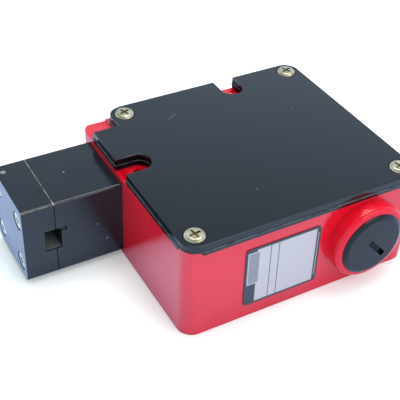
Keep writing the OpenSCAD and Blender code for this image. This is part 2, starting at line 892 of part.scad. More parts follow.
module solenoid_yoke() {
    top = axis_z + coil_r + 1;
    length = yoke_y1 - yoke_y0;
    color([0.55, 0.57, 0.6])
    place()
        difference() {
            union() {
                translate([bolt_x - yoke_half, yoke_y0, seat_z])
                    cube([2 * yoke_half, length + yoke_foot_l, yoke_t]);
                for (y = [yoke_y0, yoke_y1 - yoke_t])
                    translate([bolt_x - yoke_half, y, seat_z])
                        cube([2 * yoke_half, yoke_t, top - seat_z]);
            }
            rod_y(yoke_y0 - 1, yoke_y0 + yoke_t + 1, armature_r + hand_gap);
            rod_y(yoke_y1 - yoke_t - 1, yoke_y1 + 1, bolt_r + run_gap);
            for (p = yoke_feet)
                translate([p.x, p.y, seat_z - eps])
                    cylinder(r = m3_r + screw_gap, h = yoke_t + 2 * eps);
        }
}

module coil_bobbin() {
    y0 = yoke_y0 + yoke_t;
    color([0.88, 0.87, 0.82])
    place()
        difference() {
            union() {
                rod_y(y0, y0 + coil_l, armature_r + run_gap + bobbin_wall);
                rod_y(y0, y0 + bobbin_flange, coil_r);
                rod_y(y0 + coil_l - bobbin_flange, y0 + coil_l, coil_r);
            }
            rod_y(y0 - 1, y0 + coil_l + 1, armature_r + run_gap);
        }
}

module coil_winding() {
    y0 = yoke_y0 + yoke_t + bobbin_flange;
    y1 = yoke_y1 - yoke_t - bobbin_flange;
    color([0.72, 0.38, 0.16])
    place()
        difference() {
            rod_y(y0, y1, coil_r - 0.6);
            rod_y(y0 - 1, y1 + 1, armature_r + run_gap + bobbin_wall);
        }
}

module lock_armature() {
    back = yoke_y0 - spring_space;
    color([0.62, 0.63, 0.65])
    place() {
        rod_y(back - disc_t, back, disc_r);
        rod_y(back - eps, yoke_y0 + armature_l, armature_r);
        rod_y(yoke_y0 + armature_l - eps, bolt_tip_y, bolt_r);
    }
}

module armature_spring() {
    color([0.7, 0.72, 0.74])
    place()
        translate([bolt_x, yoke_y0, axis_z])
            rotate([90, 0, 0])
                ring_spring(armature_r + 0.5, spring_wire, spring_space, 6);
}

module yoke_screws() {
    color([0.7, 0.7, 0.72])
    place()
        for (p = yoke_feet)
            floor_screw(p.x, p.y, seat_z + yoke_t, m3_short);
}

module terminal_strip() {
    color([0.9, 0.88, 0.8])
    place()
        difference() {
            union() {
                translate([strip_x, strip_y, seat_z])
                    cube([strip_w, strip_d, strip_h]);
                translate([strip_x - strip_ear, strip_y + 2, seat_z])
                    cube([strip_w + 2 * strip_ear, strip_d - 4, ear_t]);
            }
            for (i = [0 : ways - 1])
                translate([way_x(i), strip_y, seat_z]) {
                    // wire mouth at the front and back, screw well at the top
                    for (y = [-1, strip_d - way_mouth])
                        translate([-way_mouth / 2, y, ear_t])
                            cube([way_mouth, way_mouth + 1, way_mouth]);
                    translate([0, strip_d / 2, strip_h - way_screw_deep])
                        cylinder(r = way_screw_r + hand_gap, h = way_screw_deep + 1);
                    translate([0, strip_d / 2, strip_h - 2 * way_screw_deep])
                        cylinder(r = way_screw_r / 2, h = strip_h);
                }
            for (p = strip_feet)
                translate([p.x, p.y, seat_z - eps])
                    cylinder(r = m3_r + screw_gap, h = ear_t + 1);
        }
}

function way_x(i) = strip_x + strip_end + (i + 0.5) * way_pitch;

module terminal_screws() {
    color([0.76, 0.7, 0.5])
    place()
        for (i = [0 : ways - 1])
            translate([way_x(i), strip_y + strip_d / 2, seat_z + strip_h - way_screw_deep])
                difference() {
                    union() {
                        cylinder(r = way_screw_r, h = way_screw_r);
                        translate([0, 0, -way_screw_deep + 1])
                            cylinder(r = way_screw_r / 2, h = way_screw_deep);
                    }
                    translate([-way_screw_r, -way_screw_r / 8, way_screw_r * 0.6])
                        cube([2 * way_screw_r, way_screw_r / 4, way_screw_r]);
                }
}

module strip_screws() {
    color([0.7, 0.7, 0.72])
    place()
        for (p = strip_feet)
            floor_screw(p.x, p.y, seat_z + ear_t, m3_l);
}

module earth_screw() {
    color([0.74, 0.7, 0.42])
    place()
        floor_screw(earth_at.x, earth_at.y, seat_z, earth_l);
}

housing();
lid();
lid_gasket();
lid_screws();
conduit_plug();
plug_seal();
rating_plate();
head_body();
head_cap();
head_screws();
cam_wheel();
cam_pin();
drive_plunger();
plunger_bush();
contact_block();
contact_cover();
contact_carriage();
bridge_contacts();
fixed_contacts();
carriage_spring();
block_screws();
solenoid_yoke();
coil_bobbin();
coil_winding();
lock_armature();
armature_spring();
yoke_screws();
terminal_strip();
terminal_screws();
strip_screws();
earth_screw();
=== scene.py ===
# %% [markdown]
# The safety interlock switch in Blender
#
# The real object is a guard switch: a die-cast box enamelled red, a black cast lid held by four screws,
# a square black head on one end that takes the guard's key, and a plastic plug in the conduit entry.
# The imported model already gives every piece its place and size, so this script loads it as a fixed
# frame, breaks the hard edges as casting and enamel do, and gives each piece the finish it was made with.

# %% Load the frame
import json
import math

import bmesh
import bpy
from mathutils import Matrix, Vector

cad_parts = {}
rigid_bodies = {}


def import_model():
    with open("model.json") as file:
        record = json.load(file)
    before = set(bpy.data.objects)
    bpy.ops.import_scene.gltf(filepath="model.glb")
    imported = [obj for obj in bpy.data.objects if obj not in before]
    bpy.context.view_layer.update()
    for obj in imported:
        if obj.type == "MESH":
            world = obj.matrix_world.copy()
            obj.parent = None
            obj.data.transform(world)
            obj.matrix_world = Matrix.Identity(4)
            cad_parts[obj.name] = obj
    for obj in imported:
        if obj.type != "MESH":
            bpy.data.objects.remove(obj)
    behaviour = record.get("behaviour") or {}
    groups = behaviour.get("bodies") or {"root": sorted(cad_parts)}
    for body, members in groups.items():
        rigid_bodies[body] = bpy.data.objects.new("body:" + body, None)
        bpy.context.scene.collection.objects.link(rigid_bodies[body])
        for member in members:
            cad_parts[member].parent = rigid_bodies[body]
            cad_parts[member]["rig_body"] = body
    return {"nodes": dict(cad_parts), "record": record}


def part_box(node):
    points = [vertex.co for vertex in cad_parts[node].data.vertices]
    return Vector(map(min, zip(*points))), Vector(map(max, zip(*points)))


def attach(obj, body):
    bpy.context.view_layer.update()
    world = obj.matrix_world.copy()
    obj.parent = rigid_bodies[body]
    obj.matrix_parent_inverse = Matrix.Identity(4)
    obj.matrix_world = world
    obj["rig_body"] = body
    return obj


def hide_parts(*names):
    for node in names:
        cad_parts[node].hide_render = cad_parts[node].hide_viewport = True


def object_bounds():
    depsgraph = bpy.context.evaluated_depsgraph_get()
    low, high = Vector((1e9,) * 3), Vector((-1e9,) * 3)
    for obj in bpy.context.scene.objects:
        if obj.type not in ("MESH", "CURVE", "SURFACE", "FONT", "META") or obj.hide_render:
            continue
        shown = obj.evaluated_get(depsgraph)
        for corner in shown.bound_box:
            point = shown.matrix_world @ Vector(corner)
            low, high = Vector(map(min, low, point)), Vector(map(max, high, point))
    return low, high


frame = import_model()
cad_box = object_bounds()
nodes = frame["nodes"]
print("nodes:", len(nodes), "box:", [round(v, 4) for v in (*cad_box[0], *cad_box[1])])

# %% [markdown]
# Colours are read off the object as sRGB hex values, but shaders count in linear light. One function
# turns the one into the other, so that every colour below can be compared with the object directly.

# %% Colours
def linear(hex_code):
    channels = [int(hex_code[i : i + 2], 16) / 255 for i in (1, 3, 5)]
    return tuple(c / 12.92 if c <= 0.04045 else ((c + 0.055) / 1.055) ** 2.4 for c in channels) + (1.0,)


print("enamel red in linear light:", [round(c, 3) for c in linear("#d80e22")])

# %% [markdown]
# A material is a small graph of nodes. One helper adds a node, sets its values and links its inputs,
# so that each finish below reads as a short list of what the light meets.

# %% Node helper
def add(tree, kind, inputs=None, **settings):
    made = tree.nodes.new(kind)
    for name, value in settings.items():
        setattr(made, name, value)
    for name, value in (inputs or {}).items():
        if isinstance(value, bpy.types.NodeSocket):
            tree.links.new(value, made.inputs[name])
        else:
            made.inputs[name].default_value = value
    return made


def start(name, **surface):
    material = bpy.data.materials.new(name)
    material.use_nodes = True
    tree = material.node_tree
    tree.nodes.clear()
    shader = add(tree, "ShaderNodeBsdfPrincipled", surface)
    out = add(tree, "ShaderNodeOutputMaterial", {"Surface": shader.outputs["BSDF"]})
    place = add(tree, "ShaderNodeTexCoord").outputs["Object"]
    return material, tree, shader, place


# %% [markdown]
# Wear and dirt never follow the form exactly, so several finishes mix two colours through a noise.
# These two helpers give that mix and a bump; sizes are in metres, as the object's coordinates are.

# %% Noise, mixes and bumps
def noise(tree, place, size_mm, detail=3.0, rough=0.5):
    return add(tree, "ShaderNodeTexNoise",
               {"Vector": place, "Scale": 1000 / size_mm, "Detail": detail, "Roughness": rough}).outputs["Fac"]


def ramp(tree, factor, low, high, flat=(0.0, 1.0)):
    return add(tree, "ShaderNodeMapRange",
               {"Value": factor, "From Min": low, "From Max": high, "To Min": flat[0], "To Max": flat[1]},
               clamp=True).outputs["Result"]


def mixed(tree, factor, a, b):
    made = add(tree, "ShaderNodeMix", data_type="RGBA")
    for index, value in ((0, factor), (6, a), (7, b)):
        if isinstance(value, bpy.types.NodeSocket):
            tree.links.new(value, made.inputs[index])
        else:
            made.inputs[index].default_value = value
    return made.outputs[2]


def bump(tree, shader, height, depth_mm, strength=1.0, after=None):
    inputs = {"Height": height, "Distance": depth_mm / 1000, "Strength": strength}
    if after is not None:
        inputs["Normal"] = after
    made = add(tree, "ShaderNodeBump", inputs).outputs["Normal"]
    tree.links.new(made, shader.inputs["Normal"])
    return made


# %% [markdown]
# Red enamel on a zinc casting. The paint is thick and glossy, and it dries with a faint orange peel of
# hills about 2.5 mm apart and a few hundredths high, which breaks the reflections without dulling them.
# Small dust nibs, a fraction of a millimetre wide, stand under the gloss.

# %% Finish: stoved red enamel
def red_enamel(name="stoved red enamel", gloss=0.5):
    material, tree, shader, place = start(name, Metallic=0.0, Roughness=0.2, IOR=1.62)
    shader.inputs["Specular IOR Level"].default_value = gloss
    tone = noise(tree, place, 45, 2)
    colour = mixed(tree, ramp(tree, tone, 0.35, 0.65), linear("#dc0e28"), linear("#e8132d"))
    tree.links.new(colour, shader.inputs["Base Color"])
    peel = bump(tree, shader, noise(tree, place, 1.7, 2), 0.05, 0.9)
    nibs = ramp(tree, noise(tree, place, 1.3, 0), 0.72, 0.8)
    bump(tree, shader, nibs, 0.05, 0.5, peel)
    smear = ramp(tree, noise(tree, place, 18, 4), 0.4, 0.7, (0.12, 0.2))
    tree.links.new(smear, shader.inputs["Roughness"])
    return material


# %% [markdown]
# Black enamel on the lid. It is the same kind of paint, but the lid has been handled and wiped, so its
# gloss varies in soft patches and it carries fine short scratches that only show in the reflection; one
# scratch and two specks are pale in colour. The narrow ledge above the flange has a painted highlight, a pale
# line standing in for the light its edge catches, and on the walls of the two slots the reflection is turned
# down, painted shade that keeps them dark.

# %% Finish: black enamel
LID_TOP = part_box("lid")[1].z
LID_PLATE = 0.0032
HOLES = {m["name"]: m["pos_m"] for m in frame["record"]["mounts"]}
SCRATCH = ((-0.0223, 0.0319, LID_TOP), (-0.0180, 0.0343, LID_TOP))
SPECKS = [(-0.0137, -0.0304, LID_TOP), (0.0344, 0.0155, LID_TOP)]


def in_slot(tree, x, y, hole, axis, operation):
    """1 inside the slot round a mounting hole, which is open along one axis."""
    away = {"X": add(tree, "ShaderNodeMath", {0: x, 1: HOLES[hole][0]}, operation="SUBTRACT").outputs[0],
            "Y": add(tree, "ShaderNodeMath", {0: y, 1: HOLES[hole][1]}, operation="SUBTRACT").outputs[0]}
    away[axis] = add(tree, "ShaderNodeMath", {0: away[axis], 1: 0.0}, operation=operation).outputs[0]
    flat = add(tree, "ShaderNodeCombineXYZ", away).outputs[0]
    reach = add(tree, "ShaderNodeVectorMath", {0: flat}, operation="LENGTH").outputs["Value"]
    return ramp(tree, reach, 0.0063, 0.0060)


def black_enamel(name, hex_code, rough=(0.07, 0.15)):
    material, tree, shader, place = start(name, Metallic=0.0, IOR=1.5)
    parts = add(tree, "ShaderNodeSeparateXYZ", {"Vector": place})
    x, y, z = parts.outputs["X"], parts.outputs["Y"], parts.outputs["Z"]
    slot = combined(tree, "MAXIMUM", in_slot(tree, x, y, "mount_hole_a", "X", "MAXIMUM"),
                    in_slot(tree, x, y, "mount_hole_b", "Y", "MINIMUM"))
    # deep: the slot walls below the top, where the reflection is turned down as painted shade.
    deep = combined(tree, "MULTIPLY", slot, ramp(tree, z, LID_TOP - 0.0008, LID_TOP - 0.0012))
    # ledge: a pale line along the ledge, a painted highlight.
    ledge = combined(tree, "MULTIPLY", near(tree, z, LID_TOP - LID_PLATE, 0.26),
                     ramp(tree, noise(tree, place, 5, 3), 0.3, 0.5, (0.15, 0.6)))
    start_at, end_at = (Vector(end) for end in SCRATCH)
    line = [chip(tree, place, tuple(start_at.lerp(end_at, step / 6)), 0.22) for step in range(7)]
    dots = [chip(tree, place, spot, 0.3) for spot in SPECKS]
    # pale holds the real scratch and specks and the painted highlight along the ledge.
    pale = combined(tree, "MAXIMUM", ledge, *line, *dots)
    tree.links.new(mixed(tree, pale, linear(hex_code), linear("#7d868c")), shader.inputs["Base Color"])
    tree.links.new(ramp(tree, deep, 0, 1, (0.5, 0.06)), shader.inputs["Specular IOR Level"])
    patch = ramp(tree, noise(tree, place, 30, 4, 0.6), 0.35, 0.7, rough)
    tree.links.new(patch, shader.inputs["Roughness"])
    peel = bump(tree, shader, noise(tree, place, 2.2, 2), 0.02, 0.3)
    stretch = add(tree, "ShaderNodeMapping", {"Vector": place, "Rotation": (0, 0, 0.6), "Scale": (1, 14, 1)})
    lines = ramp(tree, noise(tree, stretch.outputs["Vector"], 12, 3), 0.68, 0.74)
    bump(tree, shader, lines, 0.01, 0.25, peel)
    return material


# %% [markdown]
# The head's black finish has rubbed off to bare zinc alloy at a few chips, where fingers and tools reach it.
# Along the seam on top the colour turns pale and metallic in a broken line, and along the cap's front top
# edge the same pale metal is a painted highlight. Each place is a mask in the object's own coordinates, broken
# by noise. The sawn end face is dull and painted pale blue-grey, a painted reflection of bright light from the
# left. Inside the key slot the colour is near-black, painted shade, and pale grey-green on faces turned up,
# painted light.

# %% Finish: worn black head with painted light and shade
CAP_LOW, CAP_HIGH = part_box("head_cap")
SEAM_X = CAP_HIGH.x
CHIPS = [((-0.0771, 0.0257, 0.0397), 0.5), ((-0.0657, 0.0065, 0.0125), 0.45), ((-0.0702, 0.0065, 0.0222), 0.35),
         ((-0.1005, 0.0368, 0.0398), 1.3)]


def near(tree, value, middle, reach_mm):
    away = add(tree, "ShaderNodeMath", {0: value, 1: middle}, operation="SUBTRACT").outputs[0]
    away = add(tree, "ShaderNodeMath", {0: away}, operation="ABSOLUTE").outputs[0]
    return ramp(tree, away, reach_mm / 1000, reach_mm / 1500)


def combined(tree, operation, *values):
    total = values[0]
    for value in values[1:]:
        total = add(tree, "ShaderNodeMath", {0: total, 1: value}, operation=operation).outputs[0]
    return total


def chip(tree, place, middle, radius_mm):
    away = add(tree, "ShaderNodeVectorMath", {0: place, 1: middle}, operation="DISTANCE").outputs["Value"]
    return ramp(tree, away, radius_mm / 1000, radius_mm / 1400)


def head_wear_and_painted_light():
    material, tree, shader, place = start("worn black enamel on zinc alloy", IOR=1.5)
    parts = add(tree, "ShaderNodeSeparateXYZ", {"Vector": place})
    x, y, z = parts.outputs["X"], parts.outputs["Y"], parts.outputs["Z"]
    # Along the seam the colour turns pale and metallic in a broken line; along the cap's front top edge the same pale
    # metal is a painted highlight.
    top = near(tree, z, CAP_HIGH.z, 0.9)
    seam = combined(tree, "MULTIPLY", near(tree, x, SEAM_X, 0.24), top)
    edge = combined(tree, "MULTIPLY", near(tree, y, CAP_LOW.y, 0.5), near(tree, z, CAP_HIGH.z, 0.5),
                    ramp(tree, x, SEAM_X + 0.001, SEAM_X))
    broken = ramp(tree, noise(tree, place, 2.5, 4, 0.6), 0.38, 0.6)
    wear_and_highlight = combined(tree, "MULTIPLY", combined(tree, "MAXIMUM", seam, edge), broken)
    wear_and_highlight = combined(tree, "MAXIMUM", wear_and_highlight, *[chip(tree, place, *spot) for spot in CHIPS])
    # face: the end face, painted pale blue-grey and dull, a painted reflection of bright light from the left.
    face = near(tree, x, CAP_LOW.x, 0.25)
    # inside: the key slot, painted near-black as painted shade; its faces turned up get pale grey-green as painted
    # light.
    inside = combined(tree, "MULTIPLY", ramp(tree, y, CAP_LOW.y + 0.0004, CAP_LOW.y + 0.0009),
                      ramp(tree, z, CAP_HIGH.z - 0.0009, CAP_HIGH.z - 0.0014),
                      ramp(tree, x, CAP_LOW.x + 0.0009, CAP_LOW.x + 0.0014))
    inside = combined(tree, "MULTIPLY", inside, ramp(tree, z, CAP_LOW.z + 0.0009, CAP_LOW.z + 0.0014),
                      ramp(tree, y, CAP_HIGH.y - 0.0009, CAP_HIGH.y - 0.0014))
    black = mixed(tree, noise(tree, place, 12, 3), linear("#0d1117"), linear("#151a22"))
    colour = mixed(tree, face, black, linear("#8e9dbd"))
    joint = combined(tree, "MULTIPLY", near(tree, x, SEAM_X, 0.22), near(tree, y, CAP_LOW.y, 0.3),
                     ramp(tree, z, CAP_HIGH.z - 0.0004, CAP_HIGH.z - 0.0008))
    colour = mixed(tree, joint, colour, linear("#020203"))
    upward = ramp(tree, add(tree, "ShaderNodeSeparateXYZ",
                            {"Vector": add(tree, "ShaderNodeNewGeometry").outputs["Normal"]}).outputs["Z"], 0.5, 0.9)
    # Painted shade in the key slot, then painted light on its faces turned up.
    colour = mixed(tree, inside, colour, linear("#040506"))
    colour = mixed(tree, combined(tree, "MULTIPLY", inside, upward), colour, linear("#78827f"))
    tree.links.new(mixed(tree, wear_and_highlight, colour, linear("#a8aaa6")), shader.inputs["Base Color"])
    tree.links.new(ramp(tree, wear_and_highlight, 0, 1, (0.0, 0.7)), shader.inputs["Metallic"])
    tree.links.new(ramp(tree, joint, 0, 1, (0.5, 0.02)), shader.inputs["Specular IOR Level"])
    gloss = ramp(tree, noise(tree, place, 14, 4), 0.35, 0.7, (0.14, 0.24))
    dull = add(tree, "ShaderNodeMath", {0: face, 1: 0.3}, operation="MULTIPLY").outputs[0]
    tree.links.new(combined(tree, "ADD", gloss, dull), shader.inputs["Roughness"])
    bump(tree, shader, noise(tree, place, 1.6, 2), 0.03, 0.4)
    return material


# %% [markdown]
# Yellow-passivated zinc on the lid screws: a pale gold film with a faint green and pink bloom, over
# steel that was cold-headed and is slightly uneven. It is a metal, so it keeps the default IOR.

# %% Finish: yellow-passivated and bright zinc
def zinc(name, pale, deep, rough=0.3):
    material, tree, shader, place = start(name, Metallic=1.0, Roughness=rough)
    bloom = ramp(tree, noise(tree, place, 2.5, 3), 0.35, 0.65)
    tree.links.new(mixed(tree, bloom, linear(pale), linear(deep)), shader.inputs["Base Color"])
    bump(tree, shader, noise(tree, place, 0.8, 2), 0.02, 0.5)
    return material


# %% [markdown]
# Ground and turned metal inside: hardened steel for the cam and the plunger, bronze for its bush and
# brass alloy for the contacts. Fine turning lines are too small to see, so they are drawn 0.4 mm apart.

# %% Finish: turned metal
def turned(name, hex_code, rough=0.28):
    material, tree, shader, place = start(name, Metallic=1.0, Roughness=rough)
    shader.inputs["Base Color"].default_value = linear(hex_code)
    squeeze = add(tree, "ShaderNodeMapping", {"Vector": place, "Scale": (8, 1, 1)})
    bump(tree, shader, noise(tree, squeeze.outputs["Vector"], 3.2, 2), 0.015, 0.4)
    return material


# %% [markdown]
# Glass-filled nylon and phenolic mouldings: satin, with the fine dimple of a spark-eroded mould, drawn
# 0.6 mm wide. The plug, the contact block and the terminal strip share the graph and differ in colour.

# %% Finish: moulded plastic
def moulding(name, hex_code, rough=0.45, dimple=0.6):
    material, tree, shader, place = start(name, Metallic=0.0, IOR=1.5)
    base = linear(hex_code)
    darker = tuple(c * 0.86 for c in base[:3]) + (1.0,)
    tree.links.new(mixed(tree, noise(tree, place, 9, 3), darker, base), shader.inputs["Base Color"])
    tree.links.new(ramp(tree, noise(tree, place, 6, 3), 0.3, 0.7, (rough - 0.05, rough + 0.07)),
                   shader.inputs["Roughness"])
    bump(tree, shader, noise(tree, place, dimple, 1), 0.02, 0.4)
    return material


# %% [markdown]
# The rating plate is a printed foil. It is drawn here as plain fields of colour: a charcoal border and
# two charcoal bands on silver, a pale box in the left band and thin rules. Each field is a rectangle in
# the plate's own millimetres, made by comparing the distance from its middle with half its size.

# %% Finish: printed foil
PLATE_LOW, PLATE_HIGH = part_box("rating_plate")
PLATE_MIDDLE = (PLATE_LOW + PLATE_HIGH) / 2


def field(tree, x, z, middle, size):
    reach = []
    for value, centre, length in ((x, middle[0], size[0]), (z, middle[1], size[1])):
        gap = add(tree, "ShaderNodeMath", {0: value, 1: centre}, operation="SUBTRACT").outputs[0]
        gap = add(tree, "ShaderNodeMath", {0: gap}, operation="ABSOLUTE").outputs[0]
        reach.append(ramp(tree, gap, length / 2 + 0.12, length / 2 - 0.12))
    return add(tree, "ShaderNodeMath", {0: reach[0], 1: reach[1]}, operation="MULTIPLY").outputs[0]


def printed_foil():
    material, tree, shader, place = start("printed silver foil", IOR=1.5)
    shift = add(tree, "ShaderNodeMapping",
                {"Vector": place, "Location": tuple(-1000 * c for c in PLATE_MIDDLE), "Scale": (1000,) * 3})
    parts = add(tree, "ShaderNodeSeparateXYZ", {"Vector": shift.outputs["Vector"]})
    x, z = parts.outputs["X"], parts.outputs["Z"]
    charcoal, silver = linear("#3c434c"), linear("#c8c7cf")
    colour = mixed(tree, field(tree, x, z, (1.6, 0), (29.2, 28.2)), charcoal, silver)
    for middle, size, paint in (
        ((-14.4, 4.6), (5.9, 17.2), silver),
        ((-14.4, 4.6), (4.9, 16.2), linear("#8f96a1")),
        ((-6.4, 0), (0.35, 28.2), charcoal),
        ((-2.5, 0), (0.35, 28.2), charcoal),
        ((17.2, 0), (0.3, 24.0), silver),
    ):
        colour = mixed(tree, field(tree, x, z, middle, size), colour, paint)
    tree.links.new(colour, shader.inputs["Base Color"])
    shader.inputs["Metallic"].default_value = 0.15
    shader.inputs["Roughness"].default_value = 0.38
    bump(tree, shader, noise(tree, place, 5, 3), 0.02, 0.4)
    return material


# %% [markdown]
# Copper wire wound on the bobbin: 0.4 mm wire in tight turns along the coil's axis, under lacquer.

# %% Finish: enamelled copper wire
def copper_wire():
    material, tree, shader, place = start("enamelled copper wire", Metallic=0.9, Roughness=0.3)
    shader.inputs["Base Color"].default_value = linear("#b5652f")
    turns = add(tree, "ShaderNodeTexWave", {"Vector": place, "Scale": 160.0, "Distortion": 0.4},
                bands_direction="Y").outputs["Fac"]
    bump(tree, shader, turns, 0.12, 0.8)
    return material


def seal_rubber():
    material, tree, shader, place = start("black nitrile rubber", Metallic=0.0, Roughness=0.7, IOR=1.5)
    shader.inputs["Base Color"].default_value = linear("#1d1d1e")
    bump(tree, shader, noise(tree, place, 0.7, 2), 0.03, 0.5)
    return material


# The plug's face is glossy; in the driver slot the reflection is turned down, painted shade that keeps the slot dark.

def plug_nylon():
    material = moulding("dark grey nylon", "#07090d", 0.14)
    tree = material.node_tree
    shader = next(node for node in tree.nodes if node.bl_idname == "ShaderNodeBsdfPrincipled")
    low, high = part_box("conduit_plug")
    place = add(tree, "ShaderNodeTexCoord").outputs["Object"]
    parts = add(tree, "ShaderNodeSeparateXYZ", {"Vector": place})
    flat = {"X": parts.outputs["X"], "Z": parts.outputs["Z"]}
    flat = add(tree, "ShaderNodeCombineXYZ", flat).outputs[0]
    middle = ((low.x + high.x) / 2, 0, (low.z + high.z) / 2)
    away = add(tree, "ShaderNodeVectorMath", {0: flat, 1: middle}, operation="DISTANCE").outputs["Value"]
    # slot: the driver slot, where the reflection is turned down as painted shade.
    slot = combined(tree, "MULTIPLY", ramp(tree, away, 0.0125, 0.012),
                    ramp(tree, parts.outputs["Y"], low.y + 0.0002, low.y + 0.0005))
    tree.links.new(ramp(tree, slot, 0, 1, (0.36, 0.1)), shader.inputs["Specular IOR Level"])
    return material


# %% Make the finishes
FINISHES = {
    "red_enamel": red_enamel(),
    "black_lid": black_enamel("black enamel on a cast lid", "#0c1015"),
    "black_head": head_wear_and_painted_light(),
    "yellow_zinc": zinc("yellow-passivated zinc", "#cfc8ae", "#a39a78", 0.38),
    "bright_zinc": zinc("bright zinc plating", "#c9ccce", "#a9adb0"),
    "hard_steel": turned("ground hardened steel", "#aeb0b2"),
    "bronze": turned("sintered bronze", "#b48a52", 0.4),
    "contact_alloy": turned("silver-bearing contact brass", "#c9a869"),
    "copper_wire": copper_wire(),
    "plug_nylon": plug_nylon(),
    "seal_rubber": seal_rubber(),
    "foil": printed_foil(),
    "ivory_moulding": moulding("ivory phenolic", "#d8d3c2"),
    "blue_moulding": moulding("blue acetal", "#2f4f80", 0.35),
    "grey_moulding": moulding("grey polycarbonate", "#4a525d", 0.35),
}
slots = {s["node"]: s["material_slot"] for s in frame["record"]["subparts"]}
print("finishes:", len(FINISHES), "missing:", sorted(set(slots.values()) - set(FINISHES)))

# %% [markdown]
# No cast, moulded or machined edge is perfectly sharp: paint rolls over it and light catches it. The
# CAD meshes have sharp edges, so each piece is copied, its doubled points are merged, the triangles of
# each flat face are joined again, and every edge that turns by more than 30 degrees is bevelled.

# %% Soft-edged copies
def merged_copy(node):
    form = bmesh.new()
    form.from_mesh(nodes[node].data)
    bmesh.ops.remove_doubles(form, verts=form.verts, dist=2e-6)
    bmesh.ops.dissolve_limit(form, angle_limit=math.radians(0.4), verts=form.verts, edges=form.edges,
                             delimit={"NORMAL"})
    return form


def sharp_edges(form, least=30, where=None):
    return [e for e in form.edges
            if len(e.link_faces) == 2 and e.calc_face_angle(0) > math.radians(least)
            and (where is None or where(e))]


def round_off(form, edges, width_mm, segments=2):
    bmesh.ops.bevel(form, geom=edges, offset=width_mm / 1000, offset_type="OFFSET", segments=segments,
                    profile=0.5, affect="EDGES", clamp_overlap=True, material=-1)


def finish_piece(form, name, node, smooth=32):
    mesh = bpy.data.meshes.new(name)
    form.to_mesh(mesh)
    form.free()
    mesh.shade_smooth()
    mesh.set_sharp_from_angle(angle=math.radians(smooth))
    piece = bpy.data.objects.new(name, mesh)
    bpy.context.scene.collection.objects.link(piece)
    even = piece.modifiers.new("even shading", "WEIGHTED_NORMAL")
    even.keep_sharp = True
    mesh.materials.append(FINISHES[slots[node]])
    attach(piece, nodes[node]["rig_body"])
    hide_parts(node)
    print(name, "faces:", len(mesh.polygons))
    return piece


# %% [markdown]
# The lid. Its upper edge is a 0.7 mm round that draws a light line round the black plate. The rest of
# its edges, such as the flange and the recesses for the screws, are only just broken.

# %% Lid
LID_LOW, LID_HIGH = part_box("lid")
SCREW_LOW, SCREW_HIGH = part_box("lid_screws")
HEAD_R = 0.0046
SCREW_CENTRES = [(SCREW_LOW.x + HEAD_R, SCREW_LOW.y + HEAD_R), (SCREW_HIGH.x - HEAD_R, SCREW_LOW.y + HEAD_R),
                 (SCREW_HIGH.x - HEAD_R, SCREW_HIGH.y - HEAD_R), (-0.039, SCREW_HIGH.y - HEAD_R)]
form = merged_copy("lid")


def on_lid_rim(edge):
    middle = (edge.verts[0].co + edge.verts[1].co) / 2
    level = all(abs(v.co.z - LID_HIGH.z) < 1e-5 for v in edge.verts)
    recess = any((Vector((x, y, 0)) - Vector((middle.x, middle.y, 0))).length < 0.0053
                 for x, y in SCREW_CENTRES)
    return level and not recess


round_off(form, sharp_edges(form, 50, on_lid_rim), 0.7, 3)
round_off(form, sharp_edges(form, 50, lambda e: e.calc_length() > 0.0004
                            and all(v.co.z < LID_HIGH.z - 0.0012 for v in e.verts)), 0.15, 1)
finish_piece(form, "rounded_lid", "lid")

# %% [markdown]
# The housing. The enamel rounds the rim, the pads and the foot by about 0.5 mm; bores and hidden ribs
# inside keep their CAD edges, because no light reaches them.

# %% Housing
HOUSE_LOW, HOUSE_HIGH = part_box("housing")


def outside(edge):
    middle = (edge.verts[0].co + edge.verts[1].co) / 2
    far = max(abs(middle.x) / 0.058, abs(middle.y + 0.0) / 0.0522)
    return far > 0.972 and edge.calc_length() > 0.0003


form = merged_copy("housing")
round_off(form, sharp_edges(form, 40, outside), 0.45, 2)
finish_piece(form, "enamelled_housing", "housing")

# %% [markdown]
# The head is two blocks of the same alloy. Their long edges are rounded in the casting, and the sawn
# ends and the key slot have only a small break, about 0.3 mm.

# %% Head
for node, name in (("head_body", "soft_head_body"), ("head_cap", "soft_head_cap")):
    form = merged_copy(node)
    round_off(form, sharp_edges(form, 50, lambda e: e.calc_length() > 0.0008), 0.3, 2)
    finish_piece(form, name, node)

# %% [markdown]
# The plug is moulded nylon with a 0.5 mm round on its rim and softened slot edges.

# %% Plug, plate and screws
for node, name, width, segments in (
    ("conduit_plug", "soft_plug", 0.35, 3),
    ("rating_plate", "soft_plate", 0.12, 2),
    ("lid_screws", "soft_lid_screws", 0.14, 2),
    ("head_screws", "soft_head_screws", 0.14, 2),
):
    form = merged_copy(node)
    round_off(form, sharp_edges(form, 45, lambda e: e.calc_length() > 0.0003), width, segments)
    finish_piece(form, name, node)

# %% [markdown]
# The pieces inside are seen only with the lid off, so their CAD forms are kept and take their finish.

# %% Pieces inside
replaced = {"lid", "housing", "head_body", "head_cap", "conduit_plug", "rating_plate", "lid_screws", "head_screws"}
for node, piece in nodes.items():
    if node not in replaced:
        piece.data.materials.clear()
        piece.data.materials.append(FINISHES[slots[node]])
        for face in piece.data.polygons:
            face.material_index = 0
print("inner pieces:", len(nodes) - len(replaced))

# %% [markdown]
# Three forms are finer in the picture than in the CAD model, and ride on it as thin rings and discs: the
# boss's rounded lip, the bevel round the plug's head, and the flat faces of the four screws in the head's
# end, which lie almost level with it.

